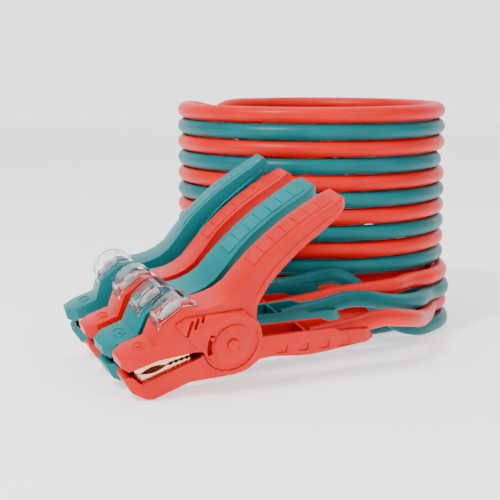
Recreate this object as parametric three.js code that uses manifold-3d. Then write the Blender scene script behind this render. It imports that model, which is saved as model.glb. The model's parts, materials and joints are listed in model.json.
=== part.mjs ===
// A set of car jumper cables: a red and a teal cable wound together into one upright
// coil, with their four spring clamps laid side by side in front of it.
// Millimetres, +Z up. The floor is z = 0. Seen from the front, X runs to the right
// and Y runs away from the viewer.
import * as THREE from 'three';
import { mergeVertices } from 'three/addons/utils/BufferGeometryUtils.js';
import Module from 'manifold-3d';

const wasm = await Module();
wasm.setup();

// Clearances
const seatGap = 0.3;
const slideGap = 0.3;

// Cable and coil
const cableDiameter = 13;
const cableSides = 8;
const turnPitch = 13.3;
const turnLevels = 14;
const coilMiddleRadius = 107.5;
const coilSegments = 40;
const grooveDepth = 2.4;

// Widths of a clamp, measured from its middle plane
const bodyHalfWidth = 12;
const noseTipHalfWidth = 6.2;
const upperGripHalfWidth = 10.5;
const lowerGripHalfWidth = 9.4;
const wall = 2.3;
const cheekWall = 2.4;

// Pivot
const pivotRadius = 3;
const rivetHeadRadius = 4.4;
const rivetHeadHeight = 1.3;
const upperCheekRadius = 20.5;
const lowerCheekRadius = 20;
const openingAngle = 35;

// Stop pin and the arc slot that it runs in
const stopRadius = 1.5;
const stopOrbit = 17.1;
const stopAngle = 142;

// Nose and hump of the upper lever
const noseLength = 76;
const noseTaper = 8;
const noseTopHeight = 20;
const noseBottomHeight = 10.5;
const noseBendReach = 51.5;
const humpFrontReach = 42.5;
const humpFrontHeight = 32;
const humpBackReach = 25;
const humpBackHeight = 37.5;
const dipHeight = 31.5;

// Upper grip
const upperGripReach = 106;
const upperGripHeight = 68.5;
const upperGripNeckDepth = 17;
const upperGripTipDepth = 10;

// Lower jaw and lower grip
const rimHeight = -1.2;
const lipHeight = 5;
const jawDepth = 16;
const troughReach = 24;
const lowerGripReach = 110;
const lowerGripDrop = 51;
const bellyDepth = 26.5;
const ribReach = 59;
const ribThickness = 2.5;
const deckDepth = 7;
const recessCount = 4;
const recessLength = 8;
const recessHeight = 6;
const recessDepth = 0.9;

// Copper jaws
const copperWall = 1.6;
const copperInset = 7;
const copperFront = noseLength - copperInset;
const copperBack = 27;
const partingHeight = 5.4;
const partingSlope = -0.095;
const partingReach = copperFront - 3;
const mouthLength = 19;
const mouthDepth = 2.2;
const toothPitch = 4;
const toothDepth = 1.2;

// Side covers
const coverThickness = 2.7;
const coverBevel = 0.9;
const coverRadius = 23;
const coverRingOuter = 19.6;
const coverRingInner = 14.2;
const coverRingDepth = 1;

// Lens and lamp holder on the hump
const lensHalfWidth = 6;
const lensWall = 1.2;
const lensRise = 9.5;
const lampHalfWidth = 3;
const lampHeight = 4.5;

// Torsion spring between the cheeks
const springRadius = 6.2;
const springWire = 1.6;
const springTurns = 3;
const springSteps = 32;
const springSides = 5;

// Where the clamps lie: heading and pitch of the grip, roll towards the viewer, in
// degrees, the pivot's place on the floor plan from the coil's axis, and how far the
// lowest corner is held off the floor by the cable and the neighbouring clamp
const red = 0xe8322d;
const teal = 0x00a5ac;
const clampLayout = [
  { name: 'red_1', colour: red, heading: 29.1, pitch: 18.7, roll: 14.3, x: -48.8, y: -262, lift: 0 },
  { name: 'teal_1', colour: teal, heading: 31.6, pitch: 19.6, roll: 17, x: -69, y: -230.4, lift: 3 },
  { name: 'red_2', colour: red, heading: 25.8, pitch: 19.8, roll: 7.6, x: -84, y: -194.2, lift: 6 },
  { name: 'teal_2', colour: teal, heading: 14.6, pitch: 22.4, roll: 9.6, x: -102.5, y: -158.9, lift: 9 },
];

// Leads: from the channel of each lower grip to the outside of the coil, [x, y, z]
// from the coil's axis
const leadRoutes = {
  red_1: [[62, -186.6, 36.5], [74, -174.5, 34], [83.5, -158, 30.5], [88.5, -140, 26.5], [92, -118, 22.8],
    [95.3, -96, 20.6], [98.9, -68.8, 19.8]],
  teal_1: [[37, -150.2, 43], [50, -142, 41.5], [63, -132.5, 38], [77, -118, 35], [90, -98, 33.5],
    [97.3, -70.7, 33.1]],
  red_2: [[34, -132, 44.2], [46.5, -128.6, 45.2], [59, -120.5, 45.8], [71, -108, 46], [81.6, -88.4, 46.4]],
  teal_2: [[24.5, -119.4, 55.5], [36, -116.6, 49.5], [48, -112.4, 38], [61, -105.9, 25], [74, -96.8, 14],
    [86, -85.8, 8.5], [94.9, -74.2, 6.8]],
};
const channelRoute = [[63, -31.2], [82, -35.6], [103, -40.4], [112, -41.6]];

// Bights: the folded middles of the cables, hanging inside the coil. Each end is given
// by its angle round the coil's axis in degrees and its level in the winding, counted
// from the top
const bights = [
  { name: 'teal_bight', colour: teal, upper: [100, 2], lower: [25, 4], bendRadius: 80 },
  { name: 'red_bight', colour: red, upper: [140, 1], lower: [62, 3], bendRadius: 66 },
];
const bightTurn = 52;
const bightEndRadius = 94;

// Materials
function plastic(colour) {
  return new THREE.MeshStandardMaterial({ color: colour, roughness: 0.38, metalness: 0 });
}
const copperMaterial = new THREE.MeshStandardMaterial({ color: 0xe0a078, roughness: 0.3, metalness: 1 });
const steelMaterial = new THREE.MeshStandardMaterial({ color: 0x9a9c9e, roughness: 0.35, metalness: 1 });
const lensMaterial = new THREE.MeshStandardMaterial({ color: 0xeef2f4, roughness: 0.08, metalness: 0 });
const lampMaterial = new THREE.MeshStandardMaterial({ color: 0xf4f4f2, roughness: 0.3, metalness: 0 });

// Solids

function solidOf(geometry) {
  const bare = geometry.index ? geometry.toNonIndexed() : geometry.clone();
  bare.deleteAttribute('normal');
  bare.deleteAttribute('uv');
  const merged = mergeVertices(bare, 1e-4);
  return new wasm.Manifold(new wasm.Mesh({
    numProp: 3,
    vertProperties: new Float32Array(merged.attributes.position.array),
    triVerts: new Uint32Array(merged.index.array),
  }));
}

function geometryOf(solid) {
  const mesh = solid.getMesh();
  const geometry = new THREE.BufferGeometry();
  geometry.setAttribute('position', new THREE.BufferAttribute(mesh.vertProperties, 3));
  geometry.setIndex(new THREE.BufferAttribute(mesh.triVerts, 1));
  geometry.computeVertexNormals();
  return geometry;
}

// A side view of [x, z] points, extruded across the clamp from yLow to yHigh
function sideSolid(points, yLow, yHigh) {
  const shape = new THREE.Shape(points.map(([x, z]) => new THREE.Vector2(x, z)));
  const geometry = new THREE.ExtrudeGeometry(shape, { depth: yHigh - yLow, bevelEnabled: false });
  geometry.rotateX(Math.PI / 2);
  geometry.translate(0, yHigh, 0);
  return solidOf(geometry);
}

// A plan view given as [x, half width] points, extruded up from zLow to zHigh
function planSolid(halfPoints, zLow, zHigh) {
  const near = halfPoints.map(([x, half]) => new THREE.Vector2(x, -half));
  const far = halfPoints.map(([x, half]) => new THREE.Vector2(x, half)).reverse();
  const geometry = new THREE.ExtrudeGeometry(new THREE.Shape([...near, ...far]), {
    depth: zHigh - zLow,
    bevelEnabled: false,
  });
  geometry.translate(0, 0, zLow);
  return solidOf(geometry);
}

// A round bar across the clamp
function barGeometry(radius, yLow, yHigh, segments = 14) {
  const geometry = new THREE.CylinderGeometry(radius, radius, yHigh - yLow, segments);
  geometry.translate(0, (yLow + yHigh) / 2, 0);
  return geometry;
}

function barSolid(radius, yLow, yHigh, x = 0, z = 0, segments = 14) {
  const geometry = barGeometry(radius, yLow, yHigh, segments);
  geometry.translate(x, 0, z);
  return solidOf(geometry);
}

function arcPoints(radius, fromDegrees, toDegrees, steps) {
  const points = [];
  for (let i = 0; i <= steps; i += 1) {
    const angle = THREE.MathUtils.degToRad(fromDegrees + ((toDegrees - fromDegrees) * i) / steps);
    points.push([radius * Math.cos(angle), radius * Math.sin(angle)]);
  }
  return points;
}

function curvePoints(controls, steps) {
  const curve = new THREE.SplineCurve(controls.map(([x, z]) => new THREE.Vector2(x, z)));
  return curve.getPoints(steps).map((point) => [point.x, point.y]);
}

// Upper lever: nose, hump and grip in one moulding, open underneath

function upperTop(drop = 0) {
  const hump = [
    [-noseLength + drop, noseTopHeight - drop],
    [-noseBendReach, noseTopHeight - drop],
    [-humpFrontReach + drop / 2, humpFrontHeight - drop],
    [-humpBackReach, humpBackHeight - drop],
  ];
  const rise = upperGripHeight - dipHeight;
  const grip = curvePoints([
    [-humpBackReach / 2, dipHeight + 1.4 - drop],
    [-2, dipHeight - drop],
    [upperGripReach * 0.12, dipHeight + rise * 0.07 - drop],
    [upperGripReach * 0.34, dipHeight + rise * 0.46 - drop],
    [upperGripReach * 0.6, dipHeight + rise * 0.76 - drop],
    [upperGripReach * 0.86, dipHeight + rise * 0.93 - drop],
    [upperGripReach - 3 - drop, upperGripHeight - drop],
  ], 12);
  return [...hump, ...grip];
}

function upperOutline() {
  const rise = upperGripHeight - dipHeight;
  const tipBottom = upperGripHeight - upperGripTipDepth;
  const underside = curvePoints([
    [upperGripReach - 1, tipBottom + 1],
    [upperGripReach * 0.86, dipHeight + rise * 0.93 - upperGripTipDepth - 2.5],
    [upperGripReach * 0.6, dipHeight + rise * 0.76 - upperGripNeckDepth + 1],
    [upperGripReach * 0.34, dipHeight + rise * 0.46 - upperGripNeckDepth - 3],
    [24, 17],
  ], 8);
  return [
    ...upperTop(),
    [upperGripReach, upperGripHeight - 3],
    ...underside,
    ...arcPoints(upperCheekRadius, 10, -185, 14),
    [-troughReach - 1.5, 4.5],
    [-noseBendReach, noseBottomHeight],
    [-noseLength + noseTaper, noseBottomHeight + 0.8],
    [-noseLength + 3, noseBottomHeight - 1],
    [-noseLength - 0.5, noseBottomHeight + 3],
  ];
}

function upperPlan(inset = 0) {
  return [
    [-noseLength - 1 + inset, noseTipHalfWidth - inset * 0.6],
    [-noseLength + noseTaper, bodyHalfWidth - inset],
    [22, bodyHalfWidth - inset],
    [40, upperGripHalfWidth - inset],
    [upperGripReach - 12, upperGripHalfWidth - inset],
    [upperGripReach - 4, upperGripHalfWidth - 2 - inset],
    [upperGripReach + 0.5 - inset, upperGripHalfWidth - 5 - inset],
  ];
}

function arcSlot(yLow, yHigh) {
  const margin = THREE.MathUtils.radToDeg((stopRadius + slideGap + 0.3) / stopOrbit);
  const half = stopRadius + slideGap;
  const from = stopAngle - margin;
  const to = stopAngle + openingAngle + margin;
  const outer = arcPoints(stopOrbit + half, from, to, 6);
  const inner = arcPoints(stopOrbit - half, to, from, 6);
  return sideSolid([...outer, ...inner], yLow, yHigh);
}

function upperLever() {
  const floor = -60;
  const outer = sideSolid(upperOutline(), -bodyHalfWidth, bodyHalfWidth).intersect(planSolid(upperPlan(), floor, 90));
  const ceiling = upperTop(wall);
  const front = ceiling[0][0];
  const back = ceiling[ceiling.length - 1][0];
  const hollow = sideSolid([...ceiling, [back, floor], [front, floor]], -bodyHalfWidth, bodyHalfWidth)
    .intersect(planSolid(upperPlan(wall), floor, 90));
  return geometryOf(outer
    .subtract(hollow)
    .subtract(barSolid(pivotRadius + slideGap, -bodyHalfWidth - 1, bodyHalfWidth + 1))
    .subtract(arcSlot(-bodyHalfWidth - 1, bodyHalfWidth + 1)));
}

// Lower lever: jaw trough, cheeks inside those of the upper lever, and the open
// channel of the grip in which the cable lies

function gripTopAt(x) {
  const slope = 0.345;
  return -8 - slope * (x - 23);
}

function lowerBottom(lift = 0) {
  return [
    [-noseLength + 1.7, -7.4 + lift],
    [-noseLength + 9, -jawDepth + 2.3 + lift],
    [-noseLength + 13.4, -jawDepth + lift],
    [-34.8, -jawDepth + 0.5 + lift],
    [-17, -21 + lift],
    [-4, -bellyDepth + 1.6 + lift],
    [8, -bellyDepth + lift],
    [20, -bellyDepth + 1.8 + lift],
    [30, -27.5 + lift],
    [47, -35.5 + lift],
    [57, -39.4 + lift],
    [69, -42.6 + lift],
    [82, -45.4 + lift],
    [lowerGripReach - 7, -lowerGripDrop + 0.5 + lift],
  ];
}

function lowerOutline() {
  const stepReach = 79;
  return [
    [-noseLength - 1, lipHeight - 1],
    ...lowerBottom(),
    [lowerGripReach, -lowerGripDrop],
    [lowerGripReach - 3, -lowerGripDrop + 9.5],
    [96, -36.5],
    [stepReach + 5, gripTopAt(stepReach) - 5],
    [stepReach, gripTopAt(stepReach)],
    [23, gripTopAt(23)],
    ...arcPoints(lowerCheekRadius, -14, 178, 12),
    [-troughReach, rimHeight],
    [-noseLength + noseTaper, rimHeight],
    [-noseLength + 4.5, lipHeight],
    [-noseLength - 0.5, lipHeight],
  ];
}

function lowerPlan(inset = 0) {
  return [
    [-noseLength - 1 + inset, noseTipHalfWidth - inset * 0.6],
    [-noseLength + noseTaper, bodyHalfWidth - inset],
    [4, bodyHalfWidth - inset],
    [17, lowerGripHalfWidth - inset],
    [lowerGripReach - 8, lowerGripHalfWidth - inset],
    [lowerGripReach + 1, lowerGripHalfWidth - 3 - inset],
  ];
}

function lowerLever() {
  const top = 60;
  const clearRadius = upperCheekRadius + 0.6;
  let lever = sideSolid(lowerOutline(), -bodyHalfWidth, bodyHalfWidth).intersect(planSolid(lowerPlan(), -70, top));
  // room for the cheeks of the upper lever
  for (const side of [-1, 1]) {
    const inner = side * (bodyHalfWidth - wall - slideGap);
    const outer = side * (bodyHalfWidth + 1);
    lever = lever.subtract(barSolid(clearRadius, Math.min(inner, outer), Math.max(inner, outer), 0, 0, 24));
  }
  // trough of the jaw
  const troughFloor = lowerBottom(wall).slice(0, 5);
  const troughSide = [[-noseLength + 3.5, top], [-noseLength + 3.5, -6], ...troughFloor.slice(1), [-17, top]];
  lever = lever.subtract(sideSolid(troughSide, -bodyHalfWidth, bodyHalfWidth)
    .intersect(planSolid(lowerPlan(wall), -70, top)));
  // space for the spring between the cheeks
  const innerHalf = bodyHalfWidth - wall - slideGap - cheekWall;
  lever = lever.subtract(sideSolid([[-17.5, top], [-17.5, -18], [-4, -21.5], [16, -21.5], [22, -14], [22, top]],
    -innerHalf, innerHalf));
  // channel of the grip: a shallow deck, a rib, and the deep part that holds the cable
  const channelHalf = lowerGripHalfWidth - wall;
  const deckFrom = 21.9;
  const deckTo = ribReach - ribThickness;
  lever = lever.subtract(sideSolid([
    [deckFrom, gripTopAt(deckFrom) - deckDepth],
    [deckTo, gripTopAt(deckTo) - deckDepth],
    [deckTo, top],
    [deckFrom, top],
  ], -channelHalf, channelHalf));
  const deepFloor = lowerBottom(wall).filter(([x]) => x > ribReach);
  lever = lever.subtract(sideSolid([
    [ribReach, -40.3 + wall],
    ...deepFloor,
    [lowerGripReach + 2, -lowerGripDrop + wall],
    [lowerGripReach + 2, top],
    [ribReach, top],
  ], -channelHalf, channelHalf));
  // square recesses along both sides of the grip
  for (let i = 0; i < recessCount; i += 1) {
    const x = 37 + i * 16.2;
    const z = -24.8 - i * 5.8;
    for (const side of [-1, 1]) {
      const box = new THREE.BoxGeometry(recessLength, 2 * recessDepth, recessHeight);
      box.rotateY(0.36);
      box.translate(x, side * lowerGripHalfWidth, z);
      lever = lever.subtract(solidOf(box));
    }
  }
  const stop = THREE.MathUtils.degToRad(stopAngle);
  return geometryOf(lever
    .subtract(barSolid(pivotRadius + slideGap, -bodyHalfWidth - 1, bodyHalfWidth + 1))
    .subtract(barSolid(stopRadius + 0.15, -bodyHalfWidth - 1, bodyHalfWidth + 1,
      stopOrbit * Math.cos(stop), stopOrbit * Math.sin(stop), 10)));
}

// Copper jaws: stamped channels whose edges meet at the front and behind the mouth

function partingAt(x) {
  return partingHeight + partingSlope * (x + partingReach);
}

function copperEdge(side) {
  const points = [[-copperFront, partingAt(-copperFront) + side * seatGap]];
  const steps = 8;
  for (let i = 0; i <= steps; i += 1) {
    const x = -partingReach + (mouthLength * i) / steps;
    const bow = Math.sin((Math.PI * i) / steps) * mouthDepth;
    points.push([x, partingAt(x) + side * (seatGap + bow)]);
  }
  for (let x = -partingReach + mouthLength + 1; x + toothPitch <= -copperBack; x += toothPitch) {
    points.push([x + toothPitch / 2, partingAt(x) + side * (seatGap + toothDepth)]);
    points.push([x + toothPitch, partingAt(x) + side * (seatGap + 0.3)]);
  }
  return points;
}

function copperJaw(side) {
  const half = bodyHalfWidth - wall - seatGap;
  const edge = copperEdge(side);
  const inside = edge.map(([x, z]) => [x, z + side * copperWall]);
  const back = side > 0 ? noseTopHeight - wall - 2 : -jawDepth + wall + 0.5 + seatGap;
  const shoulder = side > 0 ? back : -9;
  const first = edge[0][0];
  const last = edge[edge.length - 1][0];
  const outline = [...edge, [last, back], [first + 6, back], [first, shoulder]];
  const open = back + side * 5;
  const inner = [
    ...inside.slice(1, -1),
    [last - copperWall, inside[inside.length - 1][1]],
    [last - copperWall, open],
    [first + copperWall, open],
    [first + copperWall, inside[0][1]],
  ];
  const plan = planSolid([
    [-copperFront - 1, noseTipHalfWidth + 0.6],
    [-noseLength + noseTaper + 2, half],
    [0, half],
  ], -40, 60);
  const order = side > 0 ? (list) => list : (list) => [...list].reverse();
  return geometryOf(sideSolid(order(outline), -half, half)
    .intersect(plan)
    .subtract(sideSolid(order(inner), -half + copperWall, half - copperWall)));
}

// Side cover: a bevelled plate with a wing over the hump's side, a ring recess, three
// slanted slots and the arc slot of the stop pin

function slantedSlot(x, z, length) {
  const width = 2.2;
  const shape = new THREE.BoxGeometry(length, coverThickness * 4, width);
  shape.rotateY(-THREE.MathUtils.degToRad(58));
  shape.translate(x, 0, z);
  return solidOf(shape);
}

function sideCover(side) {
  const wing = [
    [13.8, 20.6],
    ...arcPoints(coverRadius, 52, -112, 13),
    [-22.5, 4.6],
    [-33.5, 26],
    [-35.5, 31],
    [-27, 33],
  ];
  const shape = new THREE.Shape(wing.map(([x, z]) => new THREE.Vector2(x, z)));
  const plate = new THREE.ExtrudeGeometry(shape, {
    depth: coverThickness - coverBevel,
    bevelEnabled: true,
    bevelThickness: coverBevel,
    bevelSize: coverBevel,
    bevelOffset: -coverBevel,
    bevelSegments: 1,
  });
  // the inner bevel is cut away, so that the cover lies flat on the lever
  plate.rotateX(Math.PI / 2);
  plate.translate(0, -bodyHalfWidth - seatGap, 0);
  let cover = solidOf(plate).intersect(sideSolid([[-60, -60], [60, -60], [60, 60], [-60, 60]],
    -bodyHalfWidth - seatGap - coverThickness - 1, -bodyHalfWidth - seatGap));
  const face = -bodyHalfWidth - seatGap - coverThickness;
  const ring = barSolid(coverRingOuter, face - 1, face + coverRingDepth, 0, 0, 24)
    .subtract(barSolid(coverRingInner, face - 2, face + coverRingDepth + 1, 0, 0, 24));
  cover = cover
    .subtract(ring)
    .subtract(arcSlot(face - 1, -bodyHalfWidth))
    .subtract(barSolid(pivotRadius + slideGap, face - 1, -bodyHalfWidth));
  for (const [x, z, length] of [[-27, 25, 12], [-21.5, 26.5, 8], [-16.5, 27.5, 4.5]]) {
    const slot = slantedSlot(x, z, length).translate([0, -bodyHalfWidth, 0]);
    cover = cover.subtract(slot);
  }
  const geometry = geometryOf(cover);
  if (side > 0) {
    // the far cover is the mirror image of the near one
    geometry.scale(1, -1, 1);
    const index = geometry.index.array;
    for (let i = 0; i < index.length; i += 3) {
      const first = index[i];
      index[i] = index[i + 1];
      index[i + 1] = first;
    }
    geometry.computeVertexNormals();
  }
  return geometry;
}

function rivet() {
  const head = bodyHalfWidth + seatGap * 2 + coverThickness;
  const profile = [
    [0, -head - rivetHeadHeight],
    [rivetHeadRadius - 0.8, -head - rivetHeadHeight],
    [rivetHeadRadius, -head],
    [pivotRadius, -head],
    [pivotRadius, head],
    [rivetHeadRadius, head],
    [rivetHeadRadius - 0.8, head + rivetHeadHeight],
    [0, head + rivetHeadHeight],
  ];
  return new THREE.LatheGeometry(profile.map(([r, y]) => new THREE.Vector2(r, y)), 14);
}

function stopPin() {
  const reach = bodyHalfWidth + coverThickness + seatGap;
  const stop = THREE.MathUtils.degToRad(stopAngle);
  const geometry = barGeometry(stopRadius, -reach, reach, 10);
  geometry.translate(stopOrbit * Math.cos(stop), 0, stopOrbit * Math.sin(stop));
  return geometry;
}

// Lens: a thin clear dome that straddles the hump, open underneath

function humpLine(lift) {
  return [
    [-humpFrontReach - 3, humpFrontHeight - 4 + lift],
    [-humpFrontReach - 0.4 * lift, humpFrontHeight + lift],
    [-humpBackReach, humpBackHeight + lift],
    [-humpBackReach / 2 - 2, dipHeight + 2.6 + lift],
  ];
}

function lensArch(inset) {
  const crown = humpBackHeight + lensRise - inset;
  return curvePoints([
    [-humpFrontReach - 3 + inset, humpFrontHeight - 4 + seatGap],
    [-humpFrontReach - 2 + inset, humpFrontHeight + 4.5],
    [-humpFrontReach + 5, crown - 3],
    [-(humpFrontReach + humpBackReach) / 2 + 6, crown - 0.6],
    [-humpBackReach + 6 - inset, crown - 5],
    [-humpBackReach / 2 - 2 - inset, dipHeight + 2.6 + seatGap],
  ], 12);
}

function lens() {
  const base = humpLine(seatGap);
  const outer = sideSolid([...lensArch(0).slice(1, -1).reverse(), ...base], -lensHalfWidth, lensHalfWidth);
  const arch = lensArch(lensWall).slice(1, -1);
  const below = 20;
  const inner = sideSolid([...arch.reverse(), [arch[arch.length - 1][0], below], [arch[0][0], below]],
    -lensHalfWidth + lensWall, lensHalfWidth - lensWall);
  return geometryOf(outer.subtract(inner));
}

function lampHolder() {
  const [, front, back] = humpLine(seatGap);
  const along = (share) => [
    front[0] + (back[0] - front[0]) * share,
    front[1] + (back[1] - front[1]) * share,
  ];
  const raised = (share, height) => [along(share)[0], along(share)[1] + height];
  return geometryOf(sideSolid([
    along(0.12),
    along(0.98),
    raised(0.98, lampHeight * 0.5),
    raised(0.75, lampHeight * 0.5),
    raised(0.72, lampHeight),
    raised(0.4, lampHeight),
    raised(0.36, lampHeight * 0.5),
    raised(0.12, lampHeight * 0.5),
  ], -lampHalfWidth, lampHalfWidth));
}

// Torsion spring round the rivet

class SpringPath extends THREE.Curve {
  getPoint(t) {
    const legShare = 0.12;
    const reach = bodyHalfWidth - wall - slideGap - cheekWall - springWire;
    const turn = Math.min(Math.max((t - legShare) / (1 - 2 * legShare), 0), 1);
    const angle = -Math.PI / 2 + turn * springTurns * 2 * Math.PI;
    const y = -reach + 2 * reach * turn;
    const leg = Math.max(legShare - t, t - 1 + legShare, 0) / legShare;
    const sign = t < 0.5 ? -1 : 1;
    const run = sign * leg * 8;
    return new THREE.Vector3(
      springRadius * Math.cos(angle) - run * Math.sin(angle),
      y,
      springRadius * Math.sin(angle) + run * Math.cos(angle),
    );
  }
}

function roundSection(radius, sides) {
  const points = [];
  for (let i = 0; i < sides; i += 1) {
    const angle = (2 * Math.PI * i) / sides;
    points.push(new THREE.Vector2(radius * Math.cos(angle), radius * Math.sin(angle)));
  }
  return new THREE.Shape(points);
}

function spring() {
  return new THREE.ExtrudeGeometry(roundSection(springWire / 2, springSides), {
    steps: springSteps,
    extrudePath: new SpringPath(),
    bevelEnabled: false,
  });
}

// Assembly

const set = new THREE.Group();
const clampSet = new THREE.Group();
set.add(clampSet);

function addMesh(parent, name, geometry, material) {
  const mesh = new THREE.Mesh(geometry, material);
  mesh.name = name;
  parent.add(mesh);
  return mesh;
}

const clampFrames = {};
for (const place of clampLayout) {
  const clamp = new THREE.Group();
  const body = plastic(place.colour);
  addMesh(clamp, `${place.name}_upper_lever`, upperLever(), body);
  addMesh(clamp, `${place.name}_lower_lever`, lowerLever(), body);
  addMesh(clamp, `${place.name}_near_cover`, sideCover(-1), body);
  addMesh(clamp, `${place.name}_far_cover`, sideCover(1), body);
  addMesh(clamp, `${place.name}_upper_jaw`, copperJaw(1), copperMaterial);
  addMesh(clamp, `${place.name}_lower_jaw`, copperJaw(-1), copperMaterial);
  addMesh(clamp, `${place.name}_lens`, lens(), lensMaterial);
  addMesh(clamp, `${place.name}_lamp_holder`, lampHolder(), lampMaterial);
  addMesh(clamp, `${place.name}_pivot_rivet`, rivet(), body);
  addMesh(clamp, `${place.name}_stop_pin`, stopPin(), body);
  addMesh(clamp, `${place.name}_spring`, spring(), steelMaterial);
  clamp.rotation.set(
    THREE.MathUtils.degToRad(place.roll),
    THREE.MathUtils.degToRad(-place.pitch),
    THREE.MathUtils.degToRad(place.heading),
    'ZYX',
  );
  clampSet.add(clamp);
  // the clamp is let down until its lowest corner is at its height over the floor
  clamp.position.set(place.x, place.y, 0);
  clamp.updateMatrixWorld(true);
  clamp.position.z = place.lift - new THREE.Box3().setFromObject(clamp, true).min.z;
  clamp.updateMatrixWorld(true);
  clampFrames[place.name] = clamp;
}

// Coil: one ring with a groove between neighbouring turns

const coilOuterRadius = coilMiddleRadius + cableDiameter / 2;

function coil() {
  const outer = coilOuterRadius;
  const inner = coilMiddleRadius - cableDiameter / 2;
  const height = (turnLevels - 1) * turnPitch + cableDiameter;
  const profile = [[inner, height], [inner, 0]];
  for (let level = 0; level < turnLevels; level += 1) {
    const middle = cableDiameter / 2 + level * turnPitch;
    if (level > 0) profile.push([outer - grooveDepth, middle - turnPitch / 2]);
    if (level === 0) profile.push([outer - grooveDepth, 0]);
    profile.push([outer, middle]);
  }
  profile.push([outer - grooveDepth, height]);
  profile.push([inner, height]);
  const geometry = new THREE.LatheGeometry(profile.map(([r, z]) => new THREE.Vector2(r, z)), coilSegments);
  geometry.rotateX(Math.PI / 2);
  return geometryOf(solidOf(geometry));
}

addMesh(set, 'cable_coil', coil(), plastic(red));

// Leads and bights: tubes along smooth curves

function tube(points, steps) {
  return new THREE.ExtrudeGeometry(roundSection(cableDiameter / 2, cableSides), {
    steps,
    extrudePath: new THREE.CatmullRomCurve3(points, false, 'centripetal'),
    bevelEnabled: false,
  });
}

// A plain cylinder round the coil, against which the leads are flattened
function coilBarrel() {
  const radius = coilOuterRadius + seatGap;
  const profile = [[0, -1], [radius, -1], [radius, turnLevels * turnPitch], [0, turnLevels * turnPitch]];
  const geometry = new THREE.LatheGeometry(profile.map(([r, z]) => new THREE.Vector2(r, z)), coilSegments);
  geometry.rotateX(Math.PI / 2);
  return solidOf(geometry);
}

for (const place of clampLayout) {
  const inChannel = channelRoute.map(([x, z]) => clampFrames[place.name].localToWorld(new THREE.Vector3(x, 0, z)));
  const outside = leadRoutes[place.name].map(([x, y, z]) => new THREE.Vector3(x, y, z));
  const points = [...inChannel, ...outside];
  const lead = geometryOf(solidOf(tube(points, points.length)).subtract(coilBarrel()));
  addMesh(set, `${place.name}_lead`, lead, plastic(place.colour));
}

function levelHeight(level) {
  return (turnLevels - level) * turnPitch + cableDiameter / 2;
}

function onCoil(degrees, radius, height) {
  const angle = THREE.MathUtils.degToRad(degrees);
  return new THREE.Vector3(radius * Math.cos(angle), radius * Math.sin(angle), height);
}

// A bight runs on round the coil from its upper end, turns down, hangs in a bend and
// comes up again to its lower end
function bightPoints({ upper, lower, bendRadius }) {
  const turnSpan = THREE.MathUtils.radToDeg(bightTurn / (bightEndRadius - 4));
  const legRadius = (bightEndRadius + bendRadius) / 2;
  const quarter = ([angle, level], share) => onCoil(
    angle + turnSpan * Math.sin((share * Math.PI) / 2),
    bightEndRadius + (legRadius - bightEndRadius) * share * share,
    levelHeight(level) - bightTurn * (1 - Math.cos((share * Math.PI) / 2)),
  );
  const shares = [0, 0.25, 0.5, 0.75, 1];
  const bendTop = levelHeight(lower[1]) - bightTurn;
  const middleAngle = (upper[0] + lower[0]) / 2 + turnSpan;
  const bend = [];
  for (let turn = 22.5; turn < 180; turn += 22.5) {
    const angle = THREE.MathUtils.degToRad(turn);
    const height = bendTop - bightTurn * Math.sin(angle);
    bend.push(onCoil(middleAngle + ((upper[0] - lower[0]) / 2) * Math.cos(angle), bendRadius, height));
  }
  return [
    ...shares.map((share) => quarter(upper, share)),
    ...bend,
    ...shares.map((share) => quarter(lower, share)).reverse(),
  ];
}

for (const bight of bights) {
  const points = bightPoints(bight);
  addMesh(set, bight.name, tube(points, points.length), plastic(bight.colour));
}

// Centre of all: the middle of the clamps' own box, on the floor
const clampBox = new THREE.Box3().setFromObject(clampSet, true);
const middle = clampBox.getCenter(new THREE.Vector3());
set.position.set(-middle.x, -middle.y, 0);
set.updateMatrixWorld(true);

export default set;
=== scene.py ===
# %% [markdown]
# # Car jumper cables
# Two heavy cables, one red and one teal, are wound together into one upright coil.
# Each ends in two large spring clamps, and the four clamps lie side by side in front.
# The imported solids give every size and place. They are loaded first and never moved.

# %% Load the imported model
import json
import math

import bpy
from mathutils import Matrix, Vector


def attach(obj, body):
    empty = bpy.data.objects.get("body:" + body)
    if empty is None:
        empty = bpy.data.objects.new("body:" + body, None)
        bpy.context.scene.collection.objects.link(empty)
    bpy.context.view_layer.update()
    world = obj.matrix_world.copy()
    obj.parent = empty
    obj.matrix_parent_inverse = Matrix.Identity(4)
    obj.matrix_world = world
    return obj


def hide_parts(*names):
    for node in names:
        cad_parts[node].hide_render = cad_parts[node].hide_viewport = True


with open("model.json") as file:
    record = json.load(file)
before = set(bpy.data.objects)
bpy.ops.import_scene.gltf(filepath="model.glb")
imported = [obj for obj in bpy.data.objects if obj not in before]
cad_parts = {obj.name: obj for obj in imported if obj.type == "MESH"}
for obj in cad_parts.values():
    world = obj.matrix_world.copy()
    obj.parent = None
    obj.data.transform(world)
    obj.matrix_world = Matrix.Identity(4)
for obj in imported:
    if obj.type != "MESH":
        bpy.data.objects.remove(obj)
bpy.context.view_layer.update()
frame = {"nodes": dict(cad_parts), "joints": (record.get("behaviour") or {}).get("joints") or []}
joints = {joint["name"]: joint for joint in frame["joints"]}

# %% [markdown]
# ## Camera
# The picture looks slightly down on the set from the front, with a long lens, so the
# coil's turns show as flat ovals. The lens is given in millimetres on a 36 mm sensor.

# %% Camera
COIL_AXIS = Vector((0.062726, 0.211901, 0.0))
CAMERA_PLACE = COIL_AXIS + Vector((0.0434, -1.1382, 0.2293))
CAMERA_YAW, CAMERA_PITCH = -0.084, 0.150

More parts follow.
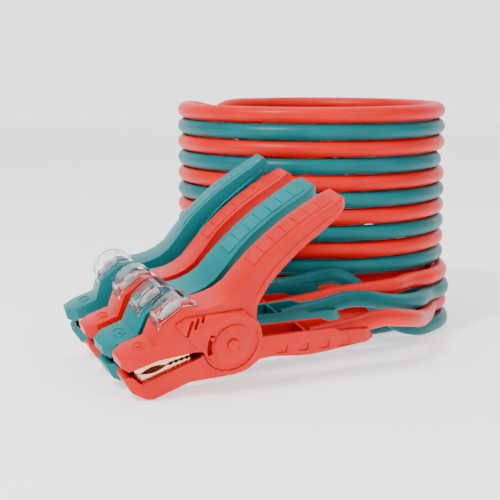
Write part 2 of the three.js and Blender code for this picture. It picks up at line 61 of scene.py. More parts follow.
camera_data = bpy.data.cameras.new("camera")
camera_data.lens = 95.2
camera_data.sensor_width = 36.0
camera = bpy.data.objects.new("camera", camera_data)
bpy.context.scene.collection.objects.link(camera)
looking = Vector((
    math.sin(CAMERA_YAW) * math.cos(CAMERA_PITCH),
    math.cos(CAMERA_YAW) * math.cos(CAMERA_PITCH),
    -math.sin(CAMERA_PITCH),
))
camera.location = CAMERA_PLACE
camera.rotation_mode = "QUATERNION"
camera.rotation_quaternion = looking.to_track_quat("-Z", "Y")
bpy.context.scene.camera = camera
print("camera at", tuple(round(v, 3) for v in camera.location))

# %% [markdown]
# ## Where the clamps lie
# Each clamp has its own small frame: the pivot is its origin, the grips point along +X
# and the nose along -X, and +Y points away from the viewer. A heading, a pitch and a
# roll turn it into its place. Everything on a clamp is drawn once in this frame.

# %% Clamp frames
CLAMPS = {
    "red_1": ((0.013926, -0.050099, 0.037564), 29.1, 18.7, 14.3),
    "teal_1": ((-0.006274, -0.018499, 0.041719), 31.6, 19.6, 17.0),
    "red_2": ((-0.021274, 0.017701, 0.043620), 25.8, 19.8, 7.6),
    "teal_2": ((-0.039774, 0.053001, 0.049291), 14.6, 22.4, 9.6),
}


def clamp_matrix(name):
    place, heading, pitch, roll = CLAMPS[name]
    turn = (
        Matrix.Rotation(math.radians(heading), 4, "Z")
        @ Matrix.Rotation(math.radians(-pitch), 4, "Y")
        @ Matrix.Rotation(math.radians(roll), 4, "X")
    )
    return Matrix.Translation(Vector(place)) @ turn


for name in CLAMPS:
    hinge = Vector(joints[name + "_hinge"]["pos_m"])
    apart = (clamp_matrix(name).translation - hinge).length
    print(name, "pivot is off by", round(apart * 1e6), "micrometres")

# %% [markdown]
# ## The cables
# A coil like this can be made by folding two cables in the middle and winding their
# four strands up side by side. Each strand keeps level round the front and climbs four
# levels at the back. Its first turn lies inside the others for a stretch, and at the top
# each pair of strands ends in a bight that hangs inside the coil. One curve follows each
# cable from clamp to clamp, since a cable is one length.

# %% The winding of one strand
CABLE = 0.013
PITCH = 0.0133
LEVELS = 14
OUTER_LAYER, INNER_LAYER = 0.1075, 0.094
# Angles are in degrees round the coil's axis, from +X towards the back of the coil
CLIMB_FROM, CLIMB_SPAN, CLIMB_SOFT = 6.0, 168.0, 0.12
DIVE_FROM, LAYER_CHANGE = 250.0, 45.0
LEAD_JOINED_AT = 14.0
INNER_TOP_LEVEL = 10
POINT_STEP = 15.0


def level_height(level):
    """Height of a turn's middle. Level 1 is the top turn and level 14 lies on the floor."""
    return (LEVELS - level) * PITCH + CABLE / 2


def smooth_step(share):
    share = min(max(share, 0.0), 1.0)
    return share * share * (3 - 2 * share)


def climb_share(degrees):
    """Share of one climb that is done, with a soft start and a soft end."""
    share = min(max(degrees / CLIMB_SPAN, 0.0), 1.0)
    steep = 1 / (1 - CLIMB_SOFT)
    if share < CLIMB_SOFT:
        return steep * share * share / (2 * CLIMB_SOFT)
    if share > 1 - CLIMB_SOFT:
        return 1 - steep * (1 - share) ** 2 / (2 * CLIMB_SOFT)
    return steep * (share - CLIMB_SOFT / 2)


def round_axis(degrees, radius, height):
    """The point at an angle, a radius and a height about the coil's axis."""
    angle = math.radians(degrees)
    return COIL_AXIS + Vector((radius * math.cos(angle), radius * math.sin(angle), height))


def strand(bottom, top, last_angle, lead_end):
    """Points from where the lead meets the coil to where the bight begins."""
    climbs = (bottom - top) // 4
    last = 360 * (climbs + 1) + last_angle
    start_angle, start_radius, start_height = lead_end
    inside_until = 0.0
    while climb_share(inside_until) < (bottom - INNER_TOP_LEVEL) / 4 - 1e-6:
        inside_until += 1.0
    emerge = 360 + CLIMB_FROM + inside_until
    layer = OUTER_LAYER - INNER_LAYER
    points = []
    angle = start_angle + POINT_STEP
    while angle < last - POINT_STEP / 2:
        climbed = sum(climb_share(angle - 360 * (turn + 1) - CLIMB_FROM) for turn in range(climbs))
        height = level_height(bottom - 4 * climbed)
        joined = smooth_step((angle - start_angle) / (LEAD_JOINED_AT - start_angle))
        radius = OUTER_LAYER + (start_radius - OUTER_LAYER) * (1 - joined)
        if angle < LEAD_JOINED_AT:
            height = start_height + (height - start_height) * joined
        dived = smooth_step((angle - DIVE_FROM) / LAYER_CHANGE)
        emerged = smooth_step((angle - emerge) / LAYER_CHANGE)
        tucked = smooth_step((angle - (last - LAYER_CHANGE)) / LAYER_CHANGE)
        radius -= layer * (dived - emerged + tucked)
        points.append(round_axis(angle, radius, height))
        angle += POINT_STEP
    points.append(round_axis(last, INNER_LAYER, level_height(top)))
    return points


# %% [markdown]
# ## The leads
# A lead leaves the channel of its clamp, droops, and swings round to the front of the
# coil, where it becomes one of the four lowest turns. A heavy cable that lies free
# follows no formula, so its points are listed one by one. They are the imported lead's own
# points, except close to the coil, which each lead meets at an angle, a radius and a
# height.

# %% Leads from the clamps, in metres from the coil's axis
LEADS = {
    "red_1": [(0.062, -0.1866, 0.0365), (0.074, -0.1745, 0.034), (0.0835, -0.158, 0.0305),
              (0.0885, -0.140, 0.0265), (0.092, -0.118, 0.0228), (0.0953, -0.096, 0.0206),
              (0.0983, -0.0745, 0.0199)],
    "teal_1": [(0.037, -0.1502, 0.043), (0.050, -0.142, 0.0415), (0.063, -0.1325, 0.038),
               (0.077, -0.118, 0.035), (0.090, -0.098, 0.0335)],
    "red_2": [(0.034, -0.132, 0.0442), (0.0465, -0.1286, 0.0452), (0.059, -0.1205, 0.0458),
              (0.071, -0.108, 0.046)],
    "teal_2": [(0.0245, -0.1194, 0.0555), (0.036, -0.1166, 0.0495), (0.048, -0.1124, 0.038),
               (0.061, -0.1059, 0.025), (0.074, -0.0968, 0.014), (0.086, -0.0858, 0.0085)],
}
CHANNEL = [(0.063, -0.0312), (0.082, -0.0356), (0.103, -0.0404), (0.112, -0.0416)]
STRANDS = {
    "red_1": (13, 1, 140, (-29.5, 0.1149, 0.0198)),
    "teal_1": (12, 4, 25, (-36.0, 0.1205, 0.0331)),
    "red_2": (11, 3, 62, (-47.3, 0.1205, 0.0464)),
    "teal_2": (14, 2, 100, (-38.0, 0.1207, 0.0068)),
}


def half_cable(name):
    inside = [clamp_matrix(name) @ Vector((x, 0.0, z)) for x, z in CHANNEL]
    outside = [COIL_AXIS + Vector(point) for point in LEADS[name]]
    bottom, top, last_angle, lead_end = STRANDS[name]
    meeting = [round_axis(*lead_end)]
    return inside + outside + meeting + strand(bottom, top, last_angle, lead_end)


# %% [markdown]
# ## The bights
# The two strands of one cable are joined where the cable was folded. The fold can't be
# seen from the front, and it hangs into the coil: each strand turns down in a quarter
# circle, and half an oval joins the two. A formula for both is shorter than a list of
# points, and it shows at once how deep the bight hangs.

# %% Bights inside the coil
BIGHT_TURN = 0.052
BIGHT_END = 0.094
BIGHT_MEAN = 0.090


def bight(upper, lower, bend_radius):
    turn_span = math.degrees(BIGHT_TURN / BIGHT_MEAN)
    leg_radius = (BIGHT_END + bend_radius) / 2

    def quarter(end, share):
        angle, level = end
        across = math.sin(share * math.pi / 2)
        down = 1 - math.cos(share * math.pi / 2)
        radius = BIGHT_END + (leg_radius - BIGHT_END) * share * share
        return round_axis(angle + turn_span * across, radius, level_height(level) - BIGHT_TURN * down)

    shares = (0.25, 0.5, 0.75, 1.0)
    bend_top = level_height(lower[1]) - BIGHT_TURN
    middle = (upper[0] + lower[0]) / 2 + turn_span
    bend = []
    for step in range(1, 8):
        turn = math.radians(22.5 * step)
        angle = middle + (upper[0] - lower[0]) / 2 * math.cos(turn)
        bend.append(round_axis(angle, bend_radius, bend_top - BIGHT_TURN * math.sin(turn)))
    return [quarter(upper, s) for s in shares] + bend + [quarter(lower, s) for s in reversed(shares)]


# %% [markdown]
# ## One curve for each cable
# A cable is one length, so it is one Bezier curve from clamp to clamp with a round
# bevel. Each handle points along the line between the neighbouring points and is a third
# of the way long, which keeps the curve smooth through every joint between its stretches.

# %% Draw both cables
def draw_cable(name, points):
    """The bevel is one metre and each point's radius scales it down to the cable's."""
    curve = bpy.data.curves.new(name, "CURVE")
    curve.dimensions = "3D"
    curve.bevel_depth = 1.0
    curve.bevel_resolution = 5
    curve.resolution_u = 5
    curve.use_fill_caps = True
    spline = curve.splines.new("BEZIER")
    spline.bezier_points.add(len(points) - 1)
    for index, point in enumerate(spline.bezier_points):
        before = points[max(index - 1, 0)]
        after = points[min(index + 1, len(points) - 1)]
        here = points[index]
        along = (after - before).normalized()
        point.handle_left_type = point.handle_right_type = "FREE"
        point.co = here
        point.radius = CABLE / 2
        point.handle_left = here - along * (here - before).length / 3
        point.handle_right = here + along * (after - here).length / 3
    cable = bpy.data.objects.new(name, curve)
    bpy.context.scene.collection.objects.link(cable)
    return cable


cables = {}
for colour, first, second, fold in (
    ("red", "red_1", "red_2", ((140, 1), (62, 3), 0.066)),
    ("teal", "teal_2", "teal_1", ((100, 2), (25, 4), 0.080)),
):
    route = half_cable(first) + bight(*fold) + list(reversed(half_cable(second)))
    cable = draw_cable(colour + "_cable", route)
    solids = [first + "_lead", second + "_lead", colour + "_bight"]
    if colour == "red":
        solids.append("cable_coil")
    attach(cable, "cable_set")
    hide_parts(*solids)
    cables[colour] = cable

# %% [markdown]
# ## Materials
# The clamps are moulded in bright semi-gloss plastic, and the cables have a satin
# sheath. Real moulded plastic is never one flat colour: the dye is a little uneven and
# the gloss is broken by a very fine grain. Each material mixes noise into colour and
# roughness, and most also into bump, read from Object coordinates in metres.

# %% A helper for noise-driven materials
CLOUD_SCALE, SMEAR_SCALE = 26.0, 90.0


def new_material(name):
    material = bpy.data.materials.new(name)
    material.use_nodes = True
    nodes, links = material.node_tree.nodes, material.node_tree.links
    shader = nodes["Principled BSDF"]
    place = nodes.new("ShaderNodeTexCoord")
    return material, nodes, links, shader, place


def noise(nodes, links, place, scale, detail=4.0):
    node = nodes.new("ShaderNodeTexNoise")
    node.inputs["Scale"].default_value = scale
    node.inputs["Detail"].default_value = detail
    links.new(place.outputs["Object"], node.inputs["Vector"])
    return node


def ramp(nodes, links, source, low, high, from_min=0.3, from_max=0.7):
    node = nodes.new("ShaderNodeValToRGB")
    node.color_ramp.elements[0].position = from_min
    node.color_ramp.elements[1].position = from_max
    node.color_ramp.elements[0].color = (*low, 1)
    node.color_ramp.elements[1].color = (*high, 1)
    links.new(source, node.inputs["Fac"])
    return node


def value_range(nodes, links, source, low, high):
    node = nodes.new("ShaderNodeMapRange")
    node.inputs["From Min"].default_value = 0.3
    node.inputs["From Max"].default_value = 0.7
    node.inputs["To Min"].default_value = low
    node.inputs["To Max"].default_value = high
    links.new(source, node.inputs["Value"])
    return node


def bump(nodes, links, source, shader, depth, strength=0.4):
    node = nodes.new("ShaderNodeBump")
    node.inputs["Strength"].default_value = strength
    node.inputs["Distance"].default_value = depth
    links.new(source, node.inputs["Height"])
    links.new(node.outputs["Normal"], shader.inputs["Normal"])
    return node


# %% Moulded plastic, cable sheath, copper, lens and spring
def moulded_plastic(name, low, high, gloss=(0.30, 0.40), grain=2600.0, depth=0.00004):
    material, nodes, links, shader, place = new_material(name)
    clouds = noise(nodes, links, place, CLOUD_SCALE)
    dye = ramp(nodes, links, clouds.outputs["Fac"], low, high)
    links.new(dye.outputs["Color"], shader.inputs["Base Color"])
    smear = noise(nodes, links, place, SMEAR_SCALE)
    dulled = value_range(nodes, links, smear.outputs["Fac"], *gloss)
    links.new(dulled.outputs["Result"], shader.inputs["Roughness"])
    fine = noise(nodes, links, place, grain, 2.0)
    bump(nodes, links, fine.outputs["Fac"], shader, depth)
    shader.inputs["Specular IOR Level"].default_value = 0.2
    return material


PLASTIC_TONES = {
    "red": ((0.56, 0.0, 0.0), (0.66, 0.0004, 0.0004)),
    "teal": ((0.0, 0.140, 0.152), (0.0, 0.175, 0.190)),
}
SHEATH_TONES = {
    "red": ((0.60, 0.0, 0.0), (0.72, 0.0006, 0.0006)),
    "teal": ((0.0, 0.110, 0.120), (0.0, 0.145, 0.157)),
}
SHEATH_GLOSS, SHEATH_GRAIN, SHEATH_DEPTH = (0.36, 0.46), 1400.0, 0.00006
plastics = {
    colour: moulded_plastic(colour + "_moulded_plastic", *tones)
    for colour, tones in PLASTIC_TONES.items()
}
sheaths = {
    colour: moulded_plastic(colour + "_cable_sheath", *tones, SHEATH_GLOSS, SHEATH_GRAIN, SHEATH_DEPTH)
    for colour, tones in SHEATH_TONES.items()
}
print("plastics and sheaths:", [material.name for material in (*plastics.values(), *sheaths.values())])


def copper_plate():
    material, nodes, links, shader, place = new_material("copper_plate")
    tone = noise(nodes, links, place, 60.0)
    plate = ramp(nodes, links, tone.outputs["Fac"], (0.72, 0.33, 0.18), (0.95, 0.56, 0.36))
    links.new(plate.outputs["Color"], shader.inputs["Base Color"])
    shader.inputs["Metallic"].default_value = 1.0
    rub = noise(nodes, links, place, 420.0)
    dulled = value_range(nodes, links, rub.outputs["Fac"], 0.18, 0.34)
    links.new(dulled.outputs["Result"], shader.inputs["Roughness"])
    bump(nodes, links, rub.outputs["Fac"], shader, 0.00006)
    return material


def clear_plastic():
    material, nodes, links, shader, place = new_material("clear_lens_plastic")
    shader.inputs["Transmission Weight"].default_value = 1.0
    shader.inputs["IOR"].default_value = 1.49
    tint = noise(nodes, links, place, 80.0)
    cast = ramp(nodes, links, tint.outputs["Fac"], (0.93, 0.96, 0.97), (1.0, 1.0, 1.0))
    links.new(cast.outputs["Color"], shader.inputs["Base Color"])
    polish = value_range(nodes, links, tint.outputs["Fac"], 0.02, 0.07)
    links.new(polish.outputs["Result"], shader.inputs["Roughness"])
    return material


def spring_steel():
    material, nodes, links, shader, place = new_material("spring_wire")
    shader.inputs["Metallic"].default_value = 1.0
    drawn = noise(nodes, links, place, 900.0)
    wire = ramp(nodes, links, drawn.outputs["Fac"], (0.34, 0.35, 0.36), (0.55, 0.56, 0.57))
    links.new(wire.outputs["Color"], shader.inputs["Base Color"])
    dulled = value_range(nodes, links, drawn.outputs["Fac"], 0.25, 0.4)
    links.new(dulled.outputs["Result"], shader.inputs["Roughness"])
    return material


COPPER = copper_plate()
CLEAR = clear_plastic()
STEEL = spring_steel()
WHITE = moulded_plastic("lamp_white_plastic", (0.74, 0.74, 0.72), (0.86, 0.86, 0.84), (0.2, 0.3))
for colour, cable in cables.items():
    cable.data.materials.append(sheaths[colour])

# %% [markdown]
# ## Clamp mouldings
# Every moulded edge on the real clamps is rounded, and a thin line of light runs along
# it. The solids have sharp edges, so each moulding is copied, its triangles are joined
# back into flat faces, and a small bevel of even width rounds the edges.

# %% Copy a solid and round its edges
COVER_EDGE, HUMP_FROM, SKIN_DEPTH = 0.0222, 0.024, 0.0003
OUTER_SEGMENTS, EDGE_SEGMENTS = 3, 2
SHARP_ANGLE, SMOOTH_ANGLE = math.radians(28.0), math.radians(32.0)


def bare_copy(node, name):
    source = frame["nodes"][node]
    piece = source.copy()
    piece.data = source.data.copy()
    piece.name = piece.data.name = name
    piece.parent = None
    piece.matrix_world = Matrix.Identity(4)
    for key in list(piece.keys()):
        del piece[key]
    piece.hide_render = False
    bpy.context.scene.collection.objects.link(piece)
    return piece


def select_only(piece):
    bpy.ops.object.select_all(action="DESELECT")
    piece.select_set(True)
    bpy.context.view_layer.objects.active = piece


def apply_modifier(piece, kind, **settings):
    select_only(piece)
    modifier = piece.modifiers.new(kind.lower(), kind)
    for key, value in settings.items():
        setattr(modifier, key, value)
    bpy.ops.object.modifier_apply(modifier=modifier.name)


def half_width(x, widths):
    for (x0, w0), (x1, w1) in zip(widths, widths[1:]):
        if x <= x1:
            return w0 + (w1 - w0) * max(x - x0, 0.0) / (x1 - x0)
    return widths[-1][1]


def on_outer_skin(point, widths):
    """Is this point of a lever on its side, and clear of the cover round the pivot?"""
    x, y, z = point
    away = math.hypot(x, z) > COVER_EDGE or z > HUMP_FROM
    return away and abs(y) > half_width(x, widths) - SKIN_DEPTH


def rounded_copy(node, width, outer=None):
    """outer is (clamp name, half widths along it, bevel width) for the long outer edges."""
    piece = bare_copy(node, node + "_moulding")
    select_only(piece)
    bpy.ops.object.mode_set(mode="EDIT")
    bpy.ops.mesh.select_all(action="SELECT")
    bpy.ops.mesh.remove_doubles(threshold=0.00001)
    bpy.ops.mesh.customdata_custom_splitnormals_clear()
    bpy.ops.mesh.dissolve_limited(angle_limit=math.radians(1.0))
    if outer:
        clamp, widths, outer_width = outer
        into = clamp_matrix(clamp).inverted()
        bpy.ops.mesh.select_mode(type="EDGE")
        bpy.ops.mesh.select_all(action="DESELECT")
        bpy.ops.mesh.edges_select_sharp(sharpness=math.radians(20.0))
        bpy.ops.object.mode_set(mode="OBJECT")
        mesh = piece.data
        skin = [on_outer_skin(into @ vertex.co, widths) for vertex in mesh.vertices]
        for vertex in mesh.vertices:
            vertex.select = False
        for face in mesh.polygons:
            face.select = False
        for edge in mesh.edges:
            edge.select = edge.select and all(skin[index] for index in edge.vertices)
        print(node, "outer edges:", sum(edge.select for edge in mesh.edges))
        bpy.ops.object.mode_set(mode="EDIT")
        bpy.ops.mesh.bevel(offset=outer_width, segments=OUTER_SEGMENTS, clamp_overlap=True)
    bpy.ops.object.mode_set(mode="OBJECT")
    apply_modifier(piece, "BEVEL", width=width, segments=EDGE_SEGMENTS, limit_method="ANGLE",
                   angle_limit=SHARP_ANGLE, use_clamp_overlap=True, harden_normals=False)
    select_only(piece)
    bpy.ops.object.shade_smooth_by_angle(angle=SMOOTH_ANGLE)
    return piece


def dress(piece, body, material, slot, *nodes):
    piece.data.materials.clear()
    piece.data.materials.append(material)
    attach(piece, body)
    if nodes:
        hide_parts(*nodes)
    return piece


# %% Round the mouldings of the four clamps
ROUNDED = {
    "upper_lever": (0.0010, True),
    "lower_lever": (0.0007, False),
    "near_cover": (0.0004, True),
    "far_cover": (0.0004, True),
    "pivot_rivet": (0.0003, False),
    "stop_pin": (0.0003, False),
}
OUTER_EDGES = {
    "upper_lever": ([(-0.0765, 0.0062), (-0.068, 0.012), (0.022, 0.012), (0.040, 0.0105),
                     (0.094, 0.0105), (0.102, 0.0085), (0.1065, 0.0055)], 0.0016),
    "lower_lever": ([(-0.0765, 0.0062), (-0.068, 0.012), (0.004, 0.012), (0.017, 0.0094),
                     (0.102, 0.0094), (0.111, 0.0064)], 0.0010),
}
made = 0
for name in CLAMPS:
    colour = name.split("_")[0]
    for part, (width, moves) in ROUNDED.items():
        node = name + "_" + part
        outer = None
        if part in OUTER_EDGES:
            outer = (name, *OUTER_EDGES[part])
        piece = rounded_copy(node, width, outer)
        body = name + "_upper" if moves else "cable_set"
        dress(piece, body, plastics[colour], colour + "_plastic", node)
        made += len(piece.data.polygons)
print("rounded mouldings:", made, "faces")

# %% [markdown]
# ## Jaws, lenses, light holders and springs
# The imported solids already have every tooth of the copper-plated jaws, and the whole
# shape of the lens, the light holder and the spring, so these stay as they are. Only
# their finish is new, and it is set on their own material slots.

# %% Finishes for the solids that stay
KEPT = {"upper_jaw": COPPER, "lower_jaw": COPPER, "lens": CLEAR, "lamp_holder": WHITE, "spring": STEEL}
for name in CLAMPS:
    for part, material in KEPT.items():
        solid = frame["nodes"][name + "_" + part]
        for index in range(len(solid.material_slots)):
            solid.material_slots[index].material = material
print("solids kept with their own finish:", len(CLAMPS) * len(KEPT))

# %% [markdown]
# ## Grip pads
# The top of each long grip carries a thumb pad, parted into seven fields by shallow
# grooves, and each field has a fine knurl of small dots. A field starts as a cube that
# is subdivided, laid along the slope of the grip and bevelled. The knurl is too fine to
# model, so it is a dot pattern in the bump, read from the pad's own UV map in metres.

# %% The line of the grip's top
GRIP_TOP = [(0.0127, 0.0341), (0.036, 0.0485), (0.0636, 0.0596), (0.0912, 0.0659), (0.103, 0.0685)]


def grip_top(x):
    """Height of the grip's top at x, on a smooth line through the five points."""
    spans = len(GRIP_TOP) - 1
    index = max(i for i in range(spans) if i == 0 or GRIP_TOP[i][0] <= x)
    (x0, z0), (x1, z1) = GRIP_TOP[index], GRIP_TOP[index + 1]
    slopes = []
    for near in (index, index + 1):
        a, b = GRIP_TOP[max(near - 1, 0)], GRIP_TOP[min(near + 1, spans)]
        slopes.append((b[1] - a[1]) / (b[0] - a[0]))
    t, run = (x - x0) / (x1 - x0), x1 - x0
    return ((2 * t**3 - 3 * t**2 + 1) * z0 + (t**3 - 2 * t**2 + t) * run * slopes[0]
            + (3 * t**2 - 2 * t**3) * z1 + (t**3 - t**2) * run * slopes[1])


# %% The fields of one pad
PAD_FROM, PAD_TO, PAD_FIELDS = 0.030, 0.097, 7
PAD_HALF_WIDTH, FIELD_GAP = 0.0066, 0.0006
PAD_LOW, PAD_PROUD, PAD_SHOULDER = -0.0008, 0.0005, -0.0001
FIELD_BOW, FIELD_EDGE = 0.0016, 0.0002


def pad_field(start, end):
    bpy.ops.object.select_all(action="DESELECT")
    bpy.ops.mesh.primitive_cube_add(size=1.0)
    field = bpy.context.active_object
    bpy.ops.object.mode_set(mode="EDIT")
    bpy.ops.mesh.select_all(action="SELECT")
    bpy.ops.mesh.subdivide(number_cuts=3)
    bpy.ops.object.mode_set(mode="OBJECT")
    uv = field.data.uv_layers.active.data
    for loop in field.data.loops:
        x, y, _ = field.data.vertices[loop.vertex_index].co
        uv[loop.index].uv = (start + (x + 0.5) * (end - start), y * 2 * PAD_HALF_WIDTH)
    for vertex in field.data.vertices:
        x, y, z = vertex.co
        bow = FIELD_BOW * (0.25 - y * y)
        along = start + (x + 0.5) * (end - start) + bow
        proud = PAD_PROUD if z > 0.45 else PAD_LOW if z < -0.45 else PAD_SHOULDER
        vertex.co = (along, y * 2 * PAD_HALF_WIDTH, grip_top(along) + proud)
    apply_modifier(field, "BEVEL", width=FIELD_EDGE, segments=2, limit_method="ANGLE",
                   angle_limit=math.radians(40.0), use_clamp_overlap=True)
    return field


def join_pieces(pieces, name):
    bpy.ops.object.select_all(action="DESELECT")
    for piece in pieces:
        piece.select_set(True)
    bpy.context.view_layer.objects.active = pieces[0]
    if len(pieces) > 1:
        bpy.ops.object.join()
    joined = bpy.context.active_object
    joined.name = joined.data.name = name
    return joined


step = (PAD_TO - PAD_FROM) / PAD_FIELDS
starts = [PAD_FROM + index * step for index in range(PAD_FIELDS)]
fields = [pad_field(start, start + step - FIELD_GAP) for start in starts]
pad_model = join_pieces(fields, "grip_pad_model")
bpy.ops.object.shade_smooth_by_angle(angle=math.radians(35.0))


# %% [markdown]
# ## The knurl
# Two sine waves across each other, one along the grip and one across it, multiply to
# rows of small domes. They only need the pad's UV map, so no picture is used.

# %% Knurled plastic for the pads
KNURL_PITCH, KNURL_DEPTH, KNURL_STRENGTH = 0.0016, 0.0003, 0.8
PAD_TONES = {
    "red": ((0.60, 0.001, 0.001), (0.70, 0.003, 0.003)),
    "teal": ((0.0, 0.185, 0.205), (0.0, 0.225, 0.25)),
}
PAD_GLOSS = (0.42, 0.55)


def knurled_plastic(name, low, high):
    material = moulded_plastic(name, low, high, PAD_GLOSS)
    nodes, links = material.node_tree.nodes, material.node_tree.links
    shader = nodes["Principled BSDF"]
    laid = nodes.new("ShaderNodeUVMap")
    laid.uv_map = "UVMap"
    parts = nodes.new("ShaderNodeSeparateXYZ")
    links.new(laid.outputs["UV"], parts.inputs["Vector"])
    waves = []
    for axis in ("X", "Y"):
        scaled = nodes.new("ShaderNodeMath")
        scaled.operation = "MULTIPLY"
        scaled.inputs[1].default_value = 2 * math.pi / KNURL_PITCH
        links.new(parts.outputs[axis], scaled.inputs[0])
        wave = nodes.new("ShaderNodeMath")
        wave.operation = "SINE"
        links.new(scaled.outputs["Value"], wave.inputs[0])
        waves.append(wave)
    dots = nodes.new("ShaderNodeMath")
    dots.operation = "MULTIPLY"
    links.new(waves[0].outputs["Value"], dots.inputs[0])
    links.new(waves[1].outputs["Value"], dots.inputs[1])
    bump(nodes, links, dots.outputs["Value"], shader, KNURL_DEPTH, KNURL_STRENGTH)
    return material


pads = {
    colour: knurled_plastic(colour + "_knurled_plastic", *tones)
    for colour, tones in PAD_TONES.items()
}


# %% [markdown]
# ## One pad on each clamp
# All four grips are from the same mould, so the pad is modelled once, and each clamp
# gets a copy with its own mesh, moved to its place inside the mesh. The first model is
# removed at the end.

# %% Put a copy of a model on each clamp
def place_copy(model, clamp, name):
    piece = model.copy()
    piece.data = model.data.copy()
    piece.name = piece.data.name = name
    bpy.context.scene.collection.objects.link(piece)
    piece.data.transform(clamp_matrix(clamp))
    return piece


for name in CLAMPS:
    colour = name.split("_")[0]
    pad = place_copy(pad_model, name, name + "_grip_pad")
    dress(pad, name + "_upper", pads[colour], colour + "_plastic")
bpy.data.objects.remove(pad_model)
print("grip pads:", PAD_FIELDS, "fields on each grip")

# %% [markdown]
# ## Side beads and polarity marks
# A rounded bead runs along both flanks of the upper grip, and the nose carries a plus on
# the red clamps and a minus on the teal ones, inside a raised oval. Each is drawn once
# in the clamp's frame: the bead as a round section along a line, the marks as bevelled
# bars, and the oval as a stretched torus.

# %% Beads along the grips
BEAD_RADIUS, BEAD_SUNK = 0.0010, 0.0003
BEAD_LINE = [(0.026, 0.026), (0.036, 0.0345), (0.049, 0.0425), (0.060, 0.0477),
             (0.070, 0.0515), (0.081, 0.0548), (0.091, 0.0578), (0.100, 0.0605)]
for name in CLAMPS:
    colour = name.split("_")[0]
    for side, place_name in ((-1, "near"), (1, "far")):
        line = bpy.data.curves.new("bead_line", "CURVE")
        line.dimensions = "3D"
        line.bevel_depth = BEAD_RADIUS
        line.bevel_resolution = 2
        line.use_fill_caps = True
        spline = line.splines.new("NURBS")
        spline.points.add(len(BEAD_LINE) - 1)
        spline.order_u = 4
        spline.use_endpoint_u = True
        for point, (x, z) in zip(spline.points, BEAD_LINE):
            flank = half_width(x, OUTER_EDGES["upper_lever"][0])
            point.co = (x, side * (flank - BEAD_SUNK), z, 1.0)
        bead = bpy.data.objects.new(name + "_" + place_name + "_bead", line)
        bpy.context.scene.collection.objects.link(bead)
        select_only(bead)
        bpy.ops.object.convert(target="MESH")
        bead = bpy.context.active_object
        bead.data.transform(clamp_matrix(name))
        bpy.ops.object.shade_smooth_by_angle(angle=math.radians(50.0))
        dress(bead, name + "_upper", plastics[colour], colour + "_plastic")
print("beads:", 2 * len(CLAMPS))


# %% Polarity marks on the noses
MARK_CENTRE = (-0.0600, 0.0, 0.0201)
BAR_LENGTH, BAR_WIDTH, BAR_HEIGHT, BAR_EDGE = 0.0046, 0.0013, 0.0010, 0.00025
OVAL_RADIUS, OVAL_WIRE, OVAL_SHAPE = 0.0046, 0.0005, (0.85, 1.1, 1.0)


def bar(length, width, height, centre):
    bpy.ops.object.select_all(action="DESELECT")
    bpy.ops.mesh.primitive_cube_add(size=1.0, location=centre, scale=(length, width, height))
    piece = bpy.context.active_object
    bpy.ops.object.transform_apply(location=True, rotation=True, scale=True)
    apply_modifier(piece, "BEVEL", width=BAR_EDGE, segments=2, limit_method="NONE", use_clamp_overlap=True)
    return piece


for name in CLAMPS:
    colour = name.split("_")[0]
    bars = [bar(BAR_WIDTH, BAR_LENGTH, BAR_HEIGHT, MARK_CENTRE)]
    if colour == "red":
        bars.append(bar(BAR_LENGTH, BAR_WIDTH, BAR_HEIGHT, MARK_CENTRE))
    bpy.ops.object.select_all(action="DESELECT")
    bpy.ops.mesh.primitive_torus_add(location=MARK_CENTRE, major_radius=OVAL_RADIUS, minor_radius=OVAL_WIRE,
                                     major_segments=40, minor_segments=8)
    oval = bpy.context.active_object
    oval.scale = OVAL_SHAPE
    bpy.ops.object.transform_apply(location=True, rotation=True, scale=True)
    mark = join_pieces(bars + [oval], name + "_polarity_mark")
    bpy.ops.object.shade_smooth_by_angle(angle=math.radians(40.0))
    mark.data.transform(clamp_matrix(name))
    dress(mark, name + "_upper", plastics[colour], colour + "_plastic")
print("polarity marks:", len(CLAMPS))

# %% [markdown]
# ## Floor and light
# The set stands on a plain pale floor, with a pale backdrop far behind it, under large
# soft lamps, so the shadows are faint and the gloss shows as broad soft streaks. The
# floor and the backdrop also glow a little, because a floor that is only lit looks grey
# unless the lamps are so strong that they wash out the colours of the plastic.

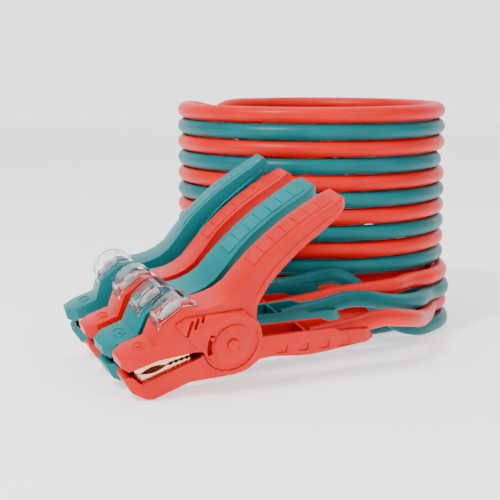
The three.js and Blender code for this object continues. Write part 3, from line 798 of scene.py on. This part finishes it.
# %% Floor and backdrop
STAGE_SIZE, BELOW_CABLES = 9.0, -0.0004
BACKDROP_PLACE = (0.0, 3.5, 2.0)
bpy.ops.object.select_all(action="DESELECT")
bpy.ops.mesh.primitive_plane_add(size=STAGE_SIZE, location=(0.0, 0.0, BELOW_CABLES))
floor = bpy.context.active_object
floor.name = "floor"
floor_material, nodes, links, shader, place = new_material("pale_floor")
shade = noise(nodes, links, place, 3.0)
pale = ramp(nodes, links, shade.outputs["Fac"], (0.90, 0.90, 0.90), (0.93, 0.93, 0.93))
links.new(pale.outputs["Color"], shader.inputs["Base Color"])
shader.inputs["Roughness"].default_value = 0.9
shader.inputs["Emission Color"].default_value = (1.0, 1.0, 1.0, 1.0)
shader.inputs["Emission Strength"].default_value = 0.9
floor.data.materials.append(floor_material)
bpy.ops.object.select_all(action="DESELECT")
bpy.ops.mesh.primitive_plane_add(size=STAGE_SIZE, location=BACKDROP_PLACE, rotation=(math.pi / 2, 0.0, 0.0))
backdrop = bpy.context.active_object
backdrop.name = "backdrop"
backdrop.data.materials.append(floor_material)
print("floor and backdrop:", STAGE_SIZE, "m square")


# %% Lamps and sky
def soft_lamp(name, place, aim, size, power):
    data = bpy.data.lights.new(name, "AREA")
    data.shape = "DISK"
    data.size = size
    data.energy = power
    lamp = bpy.data.objects.new(name, data)
    bpy.context.scene.collection.objects.link(lamp)
    lamp.location = place
    lamp.rotation_mode = "QUATERNION"
    lamp.rotation_quaternion = (Vector(aim) - Vector(place)).to_track_quat("-Z", "Y")
    return lamp


LAMPS = {
    "key_lamp": ((-0.7, -0.8, 1.4), (0.0, 0.05, 0.05), 0.45, 36.0),
    "fill_lamp": ((1.3, -1.1, 1.0), (0.05, 0.1, 0.08), 0.9, 10.0),
    "top_lamp": ((0.1, 0.5, 1.9), (0.05, 0.15, 0.0), 1.4, 14.0),
}
for name, settings in LAMPS.items():
    lamp = soft_lamp(name, *settings)
    print(lamp.name, "at", tuple(lamp.location))
world = bpy.data.worlds.new("pale_sky")
world.use_nodes = True
world.node_tree.nodes["Background"].inputs["Color"].default_value = (1.0, 1.0, 1.0, 1.0)
world.node_tree.nodes["Background"].inputs["Strength"].default_value = 0.55
bpy.context.scene.world = world
